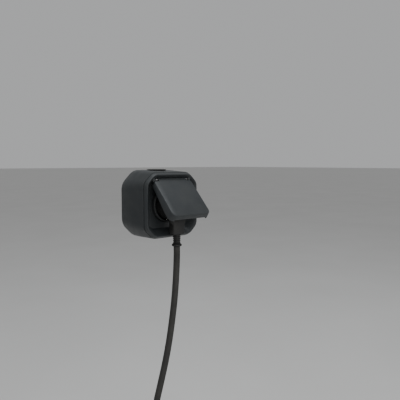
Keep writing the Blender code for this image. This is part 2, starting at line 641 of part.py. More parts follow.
def plug():
    front = -64.4 * MM
    r = HUB_R
    body = loft("plug_body", [
        plug_ring(r, r, -r, r, PLUG_FACE_Y - 2.4 * MM),
        plug_ring(r, r, -r, r, -48.0 * MM),
        plug_ring(r - 0.9 * MM, r - 1.2 * MM, -r, r - 1.0 * MM, -51.5 * MM),
        plug_ring(15.8 * MM, 17.0 * MM, -21.5 * MM, 14.0 * MM, -55.5 * MM),
        plug_ring(12.6 * MM, 15.6 * MM, -25.0 * MM, 10.0 * MM, -60.5 * MM),
        plug_ring(9.8 * MM, 15.0 * MM, -27.0 * MM, 7.0 * MM, -63.4 * MM),
        plug_ring(8.6 * MM, 13.6 * MM, -27.0 * MM, 5.8 * MM, front),
    ], "plug_rubber")
    neck_rings = [
        rounded(hx, hy, 2.2 * MM, lambda a, b, z=z: Vector((a, NECK_Y + b, z * MM)), 4)
        for hx, hy, z in ((NECK_HALF_X + 0.6 * MM, NECK_HALF_Y, -12.0), (NECK_HALF_X, NECK_HALF_Y, -27.0),
                          (NECK_HALF_X - 0.5 * MM, NECK_HALF_Y - 0.3 * MM, NECK_BOTTOM_Z / MM))
    ]
    join(body, loft("neck", neck_rings, "plug_rubber"))
    cut(body, turned_z("relief_pocket", [(4.6 * MM, -30.0 * MM), (4.6 * MM, -40.0 * MM)], "part_black", 20,
                       (0.0, RELIEF_Y)))
    face = turned_y("plug_face", [(r - 0.2 * MM, PLUG_FACE_Y), (r - 0.2 * MM, PLUG_FACE_Y - 2.1 * MM)],
                    "plug_rubber", 40)
    for side, word in ((-1, "low"), (1, "high")):
        z0, z1 = sorted((side * 16.6 * MM, side * 24.0 * MM))
        for piece, tag in ((body, "body"), (face, "face")):
            cut(piece, box(f"{tag}_notch_{word}", (-3.4 * MM, -44.0 * MM, z0), (3.4 * MM, -18.0 * MM, z1)))
        z0, z1 = sorted((side * 16.9 * MM, side * 17.6 * MM))
        box(f"plug_earth_{word}", (-2.4 * MM, -43.0 * MM, z0), (2.4 * MM, PLUG_FACE_Y, z1), "nickel")
    for side, word in ((-1, "left"), (1, "right")):
        centre = (side * PIN_X, 0.0)
        tip = WELL_Y + PIN_LONG
        turned_y(f"plug_pin_{word}", [
            (1.5 * MM, tip), (2.2 * MM, tip - 0.7 * MM), (PIN_R, tip - 1.6 * MM), (PIN_R, PLUG_FACE_Y - 2.0 * MM),
        ], "nickel", 20, centre)
        cut(face, bore_y(f"face_bore_{word}", centre, PIN_R + GAP, -33.0 * MM, -18.0 * MM))


def strain_relief():
    """A pocketed root, then ribs that taper, then a flared collar round the cord."""
    profile = [(3.6 * MM, -30.3 * MM), (4.3 * MM, -30.8 * MM), (4.3 * MM, NECK_BOTTOM_Z - GAP)]
    ribs, first, last = 5, -36.4, -46.8
    for k in range(ribs):
        z = first + (last - first) * k / ribs
        r = 5.1 - 0.6 * k / ribs
        profile += [(r * MM, z * MM), (r * MM, (z - 1.2) * MM), ((r - 0.8) * MM, (z - 1.3) * MM),
                    ((r - 0.8) * MM, (z - 1.9) * MM)]
    profile += [(4.3 * MM, -46.9 * MM), (6.2 * MM, -48.4 * MM), (6.2 * MM, -50.2 * MM), (4.6 * MM, RELIEF_END_Z)]
    turned_z("strain_relief", profile, "plug_rubber", 14, (0.0, RELIEF_Y))


# ---------------------------------------------------------------- lead


def smooth_route(knots, step):
    """Points about step apart on the smooth curve through the knots."""
    tangents = [knots[min(i + 1, len(knots) - 1)] - knots[max(i - 1, 0)] for i in range(len(knots))]
    fine = []
    for i in range(len(knots) - 1):
        chord = (knots[i + 1] - knots[i]).length
        a = tangents[i].normalized() * chord / 3
        b = tangents[i + 1].normalized() * chord / 3
        fine += interpolate_bezier(knots[i], knots[i] + a, knots[i + 1] - b, knots[i + 1], 24)[:-1]
    fine.append(knots[-1])
    total = sum((q - p).length for p, q in zip(fine, fine[1:]))
    count = max(2, round(total / step))
    path, gone, target = [fine[0]], 0.0, total / count
    for p, q in zip(fine, fine[1:]):
        long = (q - p).length
        while gone + long >= target - 1e-9 and len(path) < count:
            path.append(p.lerp(q, (target - gone) / long))
            target += total / count
        gone += long
    path.append(fine[-1])
    return path


def cord_tube(name, path):
    """A cord's straight run: a curve with a round bevel and filled caps."""
    curve = bpy.data.curves.new(name, "CURVE")
    curve.dimensions = "3D"
    curve.bevel_depth = CORD_R
    curve.bevel_resolution = 2
    curve.use_fill_caps = True
    line = curve.splines.new("POLY")
    line.points.add(len(path) - 1)
    for point, place in zip(line.points, path):
        point.co = (*place, 1.0)
    curve.materials.append(finish("cord_rubber"))
    made = bpy.data.objects.new(name, curve)
    bpy.context.scene.collection.objects.link(made)
    return made


def lead():
    knots = [Vector(p) * MM for p in ROUTE]
    cord_tube("cord", smooth_route(knots, CORD_STEP))
    cx, cy, cz = COIL_CENTRE
    section = [
        (COIL_MEAN_R + COIL_RADIAL * math.cos(t), cy + COIL_AXIAL * math.sin(t))
        for t in (2 * math.pi * k / 10 for k in range(10))
    ]
    turned_y("cord_coil", section, "cord_rubber", 40, (cx, cz), closed=True)
    x, y = TAIL
    drop = math.sqrt((COIL_MEAN_R + COIL_RADIAL) ** 2 - (cx - x - CORD_R) ** 2) + 0.8 * MM
    tail = [Vector((x, y, cz - drop)), Vector((x, y, TAIL_END_Z))]
    cord_tube("cord_tail", smooth_route(tail, CORD_STEP))
    cord_tie()
    connector(x, y)


def cord_tie():
    """A strap round the coil's bundle beside the lead."""
    cx, cy, cz = COIL_CENTRE
    angle = math.radians(62.0)
    way = Vector((math.cos(angle), 0.0, math.sin(angle)))
    along = Vector((-math.sin(angle), 0.0, math.cos(angle)))
    middle = Vector((cx, cy, cz)) + way * COIL_MEAN_R
    rings = []
    for half, spare in ((5.0, 0.9), (5.0, 2.1), (-5.0, 2.1), (-5.0, 0.9)):
        a, b = COIL_RADIAL + spare * MM, COIL_AXIAL + spare * MM
        rings.append(circle(1.0, 24, lambda p, q, a=a, b=b, h=half: middle + along * (h * MM)
                            + way * (a * p) + Vector((0.0, b * q, 0.0))))
    loft("cord_tie", rings, "seal_rubber", closed=True)


def connector(x, y):
    """The three-pole appliance connector on the lead's end, mouth down."""
    top = CONNECTOR_TOP_Z
    profile = [(4.5 * MM, TAIL_END_Z - GAP)]
    for k in range(5):
        z, r = TAIL_END_Z / MM - 3.0 - 3.2 * k, 4.9 + 0.4 * k
        profile += [(r * MM, z * MM), (r * MM, (z - 1.6) * MM), ((r - 0.8) * MM, (z - 1.8) * MM),
                    ((r - 0.8) * MM, (z - 2.9) * MM)]
    profile += [(6.2 * MM, top + 2.6 * MM), (6.2 * MM, top + GAP)]
    turned_z("connector_relief", profile, "plug_rubber", 14, (x, y))
    rings = [
        rounded(hx * MM, hy * MM, c * MM, lambda a, b, z=z: Vector((x + a, y + b, top - z * MM)), 4)
        for hx, hy, c, z in ((8.6, 6.6, 3.0, 0.0), (12.0, 7.6, 3.0, 5.0), (13.2, 8.6, 2.0, 9.0),
                             (13.2, 8.6, 2.0, 27.0))
    ]
    body = loft("connector_body", rings, "plug_rubber")
    low = top - CONNECTOR_LONG
    for k, (dx, dy) in enumerate(((-7.0, 1.2), (0.0, -2.2), (7.0, 1.2))):
        cut(body, box(f"pole_{k}", (x + (dx - 1.3) * MM, y + (dy - 2.6) * MM, low - 2.0 * MM),
                      (x + (dx + 1.3) * MM, y + (dy + 2.6) * MM, low + 15.0 * MM)))


def clear_scene():
    for made in list(bpy.data.objects):
        bpy.data.objects.remove(made, do_unlink=True)


def main():
    clear_scene()
    back_box()
    entries()
    box_gasket()
    front_frame()
    frame_screws()
    socket_insert()
    socket_base()
    contacts()
    earth_bracket()
    shutter()
    electronics()
    push_button()
    link_wires()
    flap()
    hinge()
    plug()
    strain_relief()
    lead()


main()
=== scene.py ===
"""Dresses a weatherproof wall socket outlet, the angled plug in it and the plug's hanging lead.

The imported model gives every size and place, and its solids stay where they are. Those whose edges show are
stood for by softened copies, the reliefs and the lead by finer pieces, and every surface gets its own finish.
"""

import json
import logging
import math
from dataclasses import dataclass, field
from enum import Enum
from typing import Callable, Optional

import bmesh
import bpy
from mathutils import Matrix, Vector
from mathutils.geometry import interpolate_bezier


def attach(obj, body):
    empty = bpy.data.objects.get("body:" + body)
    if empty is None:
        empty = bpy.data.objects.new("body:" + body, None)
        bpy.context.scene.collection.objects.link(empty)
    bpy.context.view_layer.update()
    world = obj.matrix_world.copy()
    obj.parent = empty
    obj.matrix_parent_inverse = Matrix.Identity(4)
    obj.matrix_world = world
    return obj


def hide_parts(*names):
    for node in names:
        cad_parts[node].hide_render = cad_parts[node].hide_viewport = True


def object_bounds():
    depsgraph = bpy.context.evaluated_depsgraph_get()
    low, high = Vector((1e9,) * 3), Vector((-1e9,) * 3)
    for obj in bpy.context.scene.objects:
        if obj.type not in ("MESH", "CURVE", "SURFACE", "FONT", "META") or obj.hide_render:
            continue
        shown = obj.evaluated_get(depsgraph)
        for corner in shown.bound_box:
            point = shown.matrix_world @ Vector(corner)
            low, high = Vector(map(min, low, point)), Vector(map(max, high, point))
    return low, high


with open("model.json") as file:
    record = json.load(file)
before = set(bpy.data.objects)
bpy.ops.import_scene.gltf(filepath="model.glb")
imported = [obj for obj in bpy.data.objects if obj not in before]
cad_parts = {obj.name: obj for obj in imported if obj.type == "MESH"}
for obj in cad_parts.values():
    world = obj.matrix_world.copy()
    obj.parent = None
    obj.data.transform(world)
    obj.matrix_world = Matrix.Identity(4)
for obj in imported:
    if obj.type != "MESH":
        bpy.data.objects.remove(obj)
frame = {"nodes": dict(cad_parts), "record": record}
CAD_LOW, CAD_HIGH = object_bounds()

LOG = logging.getLogger("outlet")
MM = 0.001

WELD = 0.01 * MM  # corners closer than this are one corner
FLAT_DEG = 0.6  # faces that turn less than this are one face
FOLD_DEG = 33.0  # edges that turn more than this are rounded
SOFT_SHARP_DEG = 50.0  # edges of a softened piece that stay sharp in its shading
TURNED_SHARP_DEG = 32.0  # the same for a turned piece
UNITED_SHARP_DEG = 40.0  # the same for pieces put together
ROUND_STEPS = 3  # faces across a rounded edge
RING_STEPS = 48  # sides of a turned piece and of a rib's ring
BEAD_STEPS = 12  # sides of a rib's section
RIB_BEAD = 0.75 * MM  # the radius of a rib's section

Ring = list[Vector]


class Structure(Enum):
    """How a surface is made, which decides the pattern of its relief."""

    SPARKED = "sparked"  # plastic from a spark-eroded mould
    SMOOTH = "smooth"  # polished or plated
    BRUSHED = "brushed"  # drawn along one direction
    DUSTY = "dusty"  # rubber with a dull bloom
    TRACKED = "tracked"  # board with copper tracks under its mask


# ---------------------------------------------------------------- finishes


class Tree:
    """A small hand for building a material's nodes."""

    def __init__(self, name: str) -> None:
        """Starts a material with one Principled shader.

        Args:
            name: the material's name.
        """
        self.material = bpy.data.materials.new(name)
        self.material.use_nodes = True
        self.nodes = self.material.node_tree.nodes
        self.links = self.material.node_tree.links
        self.shader = self.nodes["Principled BSDF"]
        self.place = self.add("ShaderNodeTexCoord").outputs["Object"]

    def add(self, kind: str, **settings: object) -> bpy.types.Node:
        """Adds a node and sets its properties.

        Args:
            kind: the node's type.
            settings: its properties by name.

        Returns:
            The node.
        """
        node = self.nodes.new(kind)
        for name, value in settings.items():
            setattr(node, name, value)
        return node

    def join(self, source: bpy.types.NodeSocket, target: bpy.types.NodeSocket) -> None:
        """Links an output to an input."""
        self.links.new(source, target)

    def stretched(self, scale: tuple[float, float, float]) -> bpy.types.NodeSocket:
        """Object coordinates scaled by axis.

        Args:
            scale: the factor along x, y and z.

        Returns:
            The scaled vector.
        """
        mapping = self.add("ShaderNodeMapping")
        mapping.inputs["Scale"].default_value = scale
        self.join(self.place, mapping.inputs["Vector"])
        return mapping.outputs["Vector"]

    def noise(self, per_metre: float, detail: float = 3.0, roughness: float = 0.5,
              vector: Optional[bpy.types.NodeSocket] = None) -> bpy.types.NodeSocket:
        """A cloud pattern.

        Args:
            per_metre: cells to the metre.
            detail: octaves.
            roughness: weight of the finer octaves.
            vector: coordinates, or None for Object coordinates.

        Returns:
            The pattern's value.
        """
        node = self.add("ShaderNodeTexNoise")
        node.inputs["Scale"].default_value = per_metre
        node.inputs["Detail"].default_value = detail
        node.inputs["Roughness"].default_value = roughness
        self.join(vector or self.place, node.inputs["Vector"])
        return node.outputs["Fac"]

    def ranged(self, value: bpy.types.NodeSocket, low: float, high: float, start: float = 0.3,
               end: float = 0.7) -> bpy.types.NodeSocket:
        """Maps a pattern's useful part onto a range.

        Args:
            value: the pattern.
            low: the result at start and below.
            high: the result at end and above.
            start: the pattern's value for low.
            end: the pattern's value for high.

        Returns:
            The mapped value.
        """
        node = self.add("ShaderNodeMapRange")
        node.inputs["From Min"].default_value = start
        node.inputs["From Max"].default_value = end
        node.inputs["To Min"].default_value = low
        node.inputs["To Max"].default_value = high
        self.join(value, node.inputs["Value"])
        return node.outputs["Result"]

    def mixed(self, amount: bpy.types.NodeSocket, first: bpy.types.NodeSocket | tuple,
              second: tuple) -> bpy.types.NodeSocket:
        """Mixes a colour or a colour socket with a second colour.

        Args:
            amount: how much of the second one shows.
            first: a colour, or the socket that carries one.
            second: a colour.

        Returns:
            The mixed colour.
        """
        node = self.add("ShaderNodeMix", data_type="RGBA")
        self.join(amount, node.inputs[0])
        if isinstance(first, tuple):
            node.inputs[6].default_value = (*first, 1.0)
        else:
            self.join(first, node.inputs[6])
        node.inputs[7].default_value = (*second, 1.0)
        return node.outputs[2]

    def raised(self, height: bpy.types.NodeSocket, depth: float, strength: float,
               under: Optional[bpy.types.NodeSocket] = None) -> bpy.types.NodeSocket:
        """A relief.

        Args:
            height: the pattern.
            depth: its full height in metres.
            strength: its weight.
            under: the normal of a coarser relief below it.

        Returns:
            The normal.
        """
        node = self.add("ShaderNodeBump")
        node.inputs["Strength"].default_value = strength
        node.inputs["Distance"].default_value = depth
        self.join(height, node.inputs["Height"])
        if under is not None:
            self.join(under, node.inputs["Normal"])
        return node.outputs["Normal"]


@dataclass(frozen=True)
class Finish:
    """One of the object's finishes.

    Attributes:
        slot: the record's material slot.
        colour: the main colour.
        second: the colour of its clouds, dust or tracks.
        roughness: lowest and highest.
        structure: the kind of relief.
        grain: relief cells to the metre.
        depth: the relief's height in metres.
        clouds: colour clouds to the metre.
        metallic: 1 for a metal.
        clear: how much light passes.
        sheen: the shader's specular level.
    """

    slot: str
    colour: tuple[float, float, float]
    second: tuple[float, float, float]
    roughness: tuple[float, float] = (0.4, 0.55)
    structure: Structure = Structure.SPARKED
    grain: float = 2400.0
    depth: float = 0.00003
    clouds: float = 45.0
    metallic: float = 0.0
    clear: float = 0.0
    sheen: float = 0.42

    def built(self) -> bpy.types.Material:
        """The finish as a material, made once."""
        name = f"{self.slot}_finish"
        return bpy.data.materials.get(name) or self.make(name)

    def make(self, name: str) -> bpy.types.Material:
        """Builds the nodes.

        Args:
            name: the material's name.

        Returns:
            The material.
        """
        tree = Tree(name)
        shader = tree.shader.inputs
        shader["Metallic"].default_value = self.metallic
        shader["Transmission Weight"].default_value = self.clear
        shader["Specular IOR Level"].default_value = self.sheen
        clouds = tree.noise(self.clouds, 5.0, 0.6)
        colour = tree.mixed(tree.ranged(clouds, 0.0, 1.0), self.colour, self.second)
        if self.structure is Structure.SPARKED:
            specks = tree.ranged(tree.noise(self.grain * 0.7, 2.0), 0.0, 0.5, 0.52, 0.72)
            colour = tree.mixed(specks, colour, tuple(1.45 * c + 0.002 for c in self.colour))
            coarse = tree.raised(tree.noise(self.grain * 0.35, 2.0), 2.0 * self.depth, 0.35)
            normal = tree.raised(tree.noise(self.grain, 3.0, 0.6), self.depth, 0.6, coarse)
        elif self.structure is Structure.DUSTY:
            dust = tree.ranged(tree.noise(self.grain * 0.4, 6.0, 0.7), 0.0, 0.7, 0.5, 0.8)
            colour = tree.mixed(dust, colour, self.second)
            coarse = tree.raised(tree.noise(self.clouds * 4.0, 3.0), 4.0 * self.depth, 0.25)
            normal = tree.raised(tree.noise(self.grain, 4.0, 0.65), self.depth, 0.7, coarse)
        elif self.structure is Structure.BRUSHED:
            lines = tree.stretched((self.grain, self.grain, self.grain * 0.04))
            normal = tree.raised(tree.noise(1.0, 3.0, 0.6, lines), self.depth, 0.5)
        elif self.structure is Structure.TRACKED:
            tracks = tree.add("ShaderNodeTexBrick")
            tracks.inputs["Scale"].default_value = self.grain
            tracks.inputs["Mortar Size"].default_value = 0.03
            tracks.inputs["Color1"].default_value = (0.0, 0.0, 0.0, 1.0)
            tracks.inputs["Color2"].default_value = (0.25, 0.25, 0.25, 1.0)
            tracks.inputs["Mortar"].default_value = (1.0, 1.0, 1.0, 1.0)
            turned = tree.add("ShaderNodeMapping")
            turned.inputs["Rotation"].default_value = (math.pi / 2.0, 0.0, 0.0)
            tree.join(tree.place, turned.inputs["Vector"])
            tree.join(turned.outputs["Vector"], tracks.inputs["Vector"])
            colour = tree.mixed(tracks.outputs["Color"], colour, self.second)
            normal = tree.raised(tracks.outputs["Color"], self.depth, 0.6)
        else:
            normal = tree.raised(tree.noise(self.clouds * 2.0, 2.0), self.depth, 0.3)
        tree.join(colour, shader["Base Color"])
        rough = tree.noise(self.clouds * 2.3, 4.0, 0.6)
        tree.join(tree.ranged(rough, *self.roughness), shader["Roughness"])
        tree.join(normal, shader["Normal"])
        return tree.material


SHELL = Finish("anthracite", (0.017, 0.0205, 0.0235), (0.027, 0.030, 0.031), (0.42, 0.56))
WELL = Finish("anthracite_inner", (0.016, 0.018, 0.019), (0.024, 0.026, 0.027), (0.42, 0.6))
SEAL = Finish("seal_rubber", (0.012, 0.012, 0.013), (0.022, 0.022, 0.021), (0.65, 0.85), Structure.DUSTY)
PLUG_RUBBER = Finish("plug_rubber", (0.006, 0.007, 0.0075), (0.014, 0.0135, 0.0125), (0.5, 0.66),
                     Structure.DUSTY, grain=1900.0, depth=0.00004)
CORD_RUBBER = Finish("cord_rubber", (0.016, 0.0155, 0.0145), (0.031, 0.030, 0.0275), (0.55, 0.75),
                     Structure.DUSTY, grain=1500.0, depth=0.00005, clouds=60.0)
BASE = Finish("base_plastic", (0.62, 0.59, 0.53), (0.70, 0.67, 0.60), (0.4, 0.55))
BRASS = Finish("brass", (0.72, 0.52, 0.22), (0.60, 0.42, 0.17), (0.22, 0.4), Structure.BRUSHED,
               metallic=1.0, depth=0.00001)
NICKEL = Finish("nickel", (0.62, 0.60, 0.56), (0.52, 0.50, 0.46), (0.16, 0.3), Structure.SMOOTH,
                metallic=1.0, depth=0.00001)
STEEL = Finish("steel", (0.34, 0.34, 0.35), (0.25, 0.25, 0.25), (0.34, 0.5), Structure.BRUSHED,
               metallic=1.0, depth=0.00001)
BOARD = Finish("board_green", (0.015, 0.10, 0.045), (0.05, 0.22, 0.10), (0.3, 0.45), Structure.TRACKED,
               grain=110.0, depth=0.00003)
BLACK = Finish("part_black", (0.018, 0.018, 0.019), (0.028, 0.028, 0.028), (0.4, 0.55))
RELAY_BLUE = Finish("relay_blue", (0.025, 0.085, 0.30), (0.035, 0.11, 0.34), (0.3, 0.42))
CLEAR = Finish("lamp_clear", (0.78, 0.83, 0.81), (0.72, 0.78, 0.76), (0.08, 0.2), Structure.SMOOTH,
               clear=0.85, depth=0.00001)
BROWN = Finish("wire_brown", (0.15, 0.055, 0.02), (0.19, 0.075, 0.03), (0.35, 0.5), Structure.SMOOTH)
BLUE = Finish("wire_blue", (0.025, 0.085, 0.30), (0.035, 0.11, 0.35), (0.35, 0.5), Structure.SMOOTH)
FINISHES = {f.slot: f for f in (SHELL, WELL, SEAL, PLUG_RUBBER, CORD_RUBBER, BASE, BRASS, NICKEL, STEEL,
                                BOARD, BLACK, RELAY_BLUE, CLEAR, BROWN, BLUE)}


# ---------------------------------------------------------------- making pieces


def node_slot(node: str) -> str:
    """The record's material slot of a CAD node."""
    return next(s["material_slot"] for s in frame["record"]["subparts"] if s["node"] == node)


def body_with(node: str) -> str:
    """The body that a CAD node belongs to."""
    return next(name for name, nodes in frame["record"]["behaviour"]["bodies"].items() if node in nodes)


def piece_from(name: str, mesh: bpy.types.Mesh, finish: Finish, body: str,
               nodes: tuple[str, ...] = ()) -> bpy.types.Object:
    """Makes a piece, dresses it and lets it ride.

    Args:
        name: the piece's name.
        mesh: its mesh, in the object's own frame.
        finish: its finish.
        body: the body that it moves with.
        nodes: the CAD nodes that it stands for.

    Returns:
        The piece.
    """
    mesh.materials.clear()
    mesh.materials.append(finish.built())
    piece = bpy.data.objects.new(name, mesh)
    bpy.context.scene.collection.objects.link(piece)
    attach(piece, body)
    if nodes:
        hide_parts(*nodes)
    LOG.info("%s: %d faces, on %s", name, len(mesh.polygons), body)
    return piece


def lofted(rings: list[Ring]) -> bpy.types.Mesh:
    """A closed mesh through rings of equal count, capped at both ends.

    Args:
        rings: the rings of points.

    Returns:
        The mesh, with its faces outwards.
    """
    shape = bmesh.new()
    made = [[shape.verts.new(p) for p in ring] for ring in rings]
    count = len(rings[0])
    for first, second in zip(made, made[1:]):
        for i in range(count):
            k = (i + 1) % count
            shape.faces.new((first[i], first[k], second[k], second[i]))
    shape.faces.new(made[0])
    shape.faces.new(made[-1])
    return meshed(shape, TURNED_SHARP_DEG)


def meshed(shape: bmesh.types.BMesh, sharp_deg: float) -> bpy.types.Mesh:
    """Turns a bmesh into a smooth-shaded mesh with its faces outwards and frees it.

    Args:
        shape: the bmesh.
        sharp_deg: edges that turn more than this stay sharp.

    Returns:
        The mesh.
    """
    bmesh.ops.recalc_face_normals(shape, faces=shape.faces)
    mesh = bpy.data.meshes.new("shape")
    shape.to_mesh(mesh)
    shape.free()
    mesh.shade_smooth()
    mesh.set_sharp_from_angle(angle=math.radians(sharp_deg))
    return mesh


def turned(profile: list[tuple[float, float]], place: Callable[[float, float, float], Vector],
           count: int = RING_STEPS) -> bpy.types.Mesh:
    """A solid of revolution.

    Args:
        profile: radius and height of each ring.
        place: turns two coordinates across the axis and one along it into a point.
        count: points round it.

    Returns:
        The mesh.
    """
    turns = [2.0 * math.pi * i / count for i in range(count)]
    return lofted([[place(r * math.cos(t), r * math.sin(t), h) for t in turns] for r, h in profile])


def softened(node: str, radius: float) -> bpy.types.Object:
    """Stands for a CAD node with a copy whose hard edges are rounded.

    Args:
        node: the CAD node.
        radius: the rounding's size in metres.

    Returns:
        The piece.
    """
    shape = bmesh.new()
    shape.from_mesh(frame["nodes"][node].data)
    bmesh.ops.remove_doubles(shape, verts=shape.verts, dist=WELD)
    bmesh.ops.dissolve_limit(shape, angle_limit=math.radians(FLAT_DEG), verts=shape.verts, edges=shape.edges)
    least = math.radians(FOLD_DEG)
    folds = [e for e in shape.edges if len(e.link_faces) == 2 and e.calc_face_angle(0.0) > least]
    bmesh.ops.bevel(shape, geom=folds, offset=radius, offset_type="OFFSET", segments=ROUND_STEPS, profile=0.5,
                    affect="EDGES", clamp_overlap=True)
    bmesh.ops.triangulate(shape, faces=[f for f in shape.faces if len(f.verts) > 4])
    mesh = meshed(shape, SOFT_SHARP_DEG)
    return piece_from(f"{node}_soft", mesh, FINISHES[node_slot(node)], body_with(node), (node,))


# ---------------------------------------------------------------- repeated ribs


@dataclass(frozen=True)
class RibRow:
    """A row of ring-shaped ribs along a vertical relief, made by one node tree.

    Attributes:
        count: how many ribs.
        pitch: from one rib to the next, downwards, in metres.
        first: the first rib's radius in metres.
        last: the last rib's radius in metres.
        bead: the radius of a rib's section in metres.
        start: the first rib's centre.
    """

    count: int
    pitch: float
    first: float
    last: float
    bead: float
    start: Vector

    def tree(self, material: bpy.types.Material) -> bpy.types.NodeTree:
        """The tree: a line of points, a ring on each, scaled along the line, made real and dressed.

        Args:
            material: the ribs' material.

        Returns:
            The node tree.
        """
        tree = bpy.data.node_groups.new("rib_row", "GeometryNodeTree")
        face = tree.interface
        kinds = {"Count": "NodeSocketInt", "Pitch": "NodeSocketFloat", "First": "NodeSocketFloat",
                 "Last": "NodeSocketFloat", "Bead": "NodeSocketFloat", "Start": "NodeSocketVector"}
        for name, kind in kinds.items():
            face.new_socket(name, in_out="INPUT", socket_type=kind)
        face.new_socket("Geometry", in_out="OUTPUT", socket_type="NodeSocketGeometry")
        add, link = tree.nodes.new, tree.links.new
        given, result = add("NodeGroupInput"), add("NodeGroupOutput")
        drop = add("ShaderNodeCombineXYZ")
        down = add("ShaderNodeMath")
        down.operation = "MULTIPLY"
        down.inputs[1].default_value = -1.0
        link(given.outputs["Pitch"], down.inputs[0])
        link(down.outputs[0], drop.inputs["Z"])
        line = add("GeometryNodeMeshLine")
        link(given.outputs["Count"], line.inputs["Count"])
        link(given.outputs["Start"], line.inputs["Start Location"])
        link(drop.outputs[0], line.inputs["Offset"])
        ring, section = add("GeometryNodeCurvePrimitiveCircle"), add("GeometryNodeCurvePrimitiveCircle")
        ring.inputs["Resolution"].default_value = RING_STEPS
        section.inputs["Resolution"].default_value = BEAD_STEPS
        link(given.outputs["First"], ring.inputs["Radius"])
        link(given.outputs["Bead"], section.inputs["Radius"])
        rib = add("GeometryNodeCurveToMesh")
        link(ring.outputs["Curve"], rib.inputs["Curve"])
        link(section.outputs["Curve"], rib.inputs["Profile Curve"])
        ratio, steps = add("ShaderNodeMath"), add("ShaderNodeMath")
        ratio.operation, steps.operation = "DIVIDE", "SUBTRACT"
        link(given.outputs["Last"], ratio.inputs[0])
        link(given.outputs["First"], ratio.inputs[1])
        link(given.outputs["Count"], steps.inputs[0])
        steps.inputs[1].default_value = 1.0
        shrink = add("ShaderNodeMapRange")
        link(add("GeometryNodeInputIndex").outputs[0], shrink.inputs["Value"])
        link(steps.outputs[0], shrink.inputs["From Max"])
        shrink.inputs["To Min"].default_value = 1.0
        link(ratio.outputs[0], shrink.inputs["To Max"])
        scale = add("ShaderNodeCombineXYZ")
        link(shrink.outputs["Result"], scale.inputs["X"])
        link(shrink.outputs["Result"], scale.inputs["Y"])
        scale.inputs["Z"].default_value = 1.0
        placed = add("GeometryNodeInstanceOnPoints")
        link(line.outputs["Mesh"], placed.inputs["Points"])
        link(rib.outputs["Mesh"], placed.inputs["Instance"])
        link(scale.outputs[0], placed.inputs["Scale"])
        real, dress = add("GeometryNodeRealizeInstances"), add("GeometryNodeSetMaterial")
        link(placed.outputs["Instances"], real.inputs["Geometry"])
        link(real.outputs["Geometry"], dress.inputs["Geometry"])
        dress.inputs["Material"].default_value = material
        link(dress.outputs["Geometry"], result.inputs["Geometry"])
        return tree

    def mesh(self, material: bpy.types.Material) -> bpy.types.Mesh:
        """The ribs as a plain mesh.

        Args:
            material: the ribs' material.

        Returns:
            The mesh.
        """
        holder = bpy.data.objects.new("rib_holder", bpy.data.meshes.new("rib_holder"))
        bpy.context.scene.collection.objects.link(holder)
        step = holder.modifiers.new("ribs", "NODES")
        step.node_group = self.tree(material)
        values = {"Count": self.count, "Pitch": self.pitch, "First": self.first, "Last": self.last,
                  "Bead": self.bead, "Start": tuple(self.start)}
        for item in step.node_group.interface.items_tree:
            if item.in_out == "INPUT":
                step[item.identifier] = values[item.name]
        ready = holder.evaluated_get(bpy.context.evaluated_depsgraph_get())
        mesh = bpy.data.meshes.new_from_object(ready)
        bpy.data.objects.remove(holder)
        return mesh


def united(meshes: list[bpy.types.Mesh]) -> bpy.types.Mesh:
    """Puts several closed meshes into one, with smooth shading.

    Args:
        meshes: the meshes, in the object's own frame.

    Returns:
        The mesh that holds them all.
    """
    shape = bmesh.new()
    for mesh in meshes:
        shape.from_mesh(mesh)
    return meshed(shape, UNITED_SHARP_DEG)


# ---------------------------------------------------------------- sub-assemblies


@dataclass
class Housing:
    """Back box, frame and well, with the button and the entries.

    Attributes:
        edge: the rounding of the large pieces' edges.
        fine_edge: the rounding of the small pieces' edges.
    """

    edge: float = 0.45 * MM
    fine_edge: float = 0.25 * MM

    def build(self) -> None:
        """Softens the pieces that show."""
        for node in ("back_box", "front_frame"):
            softened(node, self.edge)
        for node in ("socket_insert", "entry_grommet", "entry_blank", "push_button"):
            softened(node, self.fine_edge)


@dataclass
class Flap:
    """The sprung cover."""

    edge: float = 0.5 * MM

    def build(self) -> None:
        """Softens the cover; the gasket keeps its shape."""
        softened("flap_cover", self.edge)


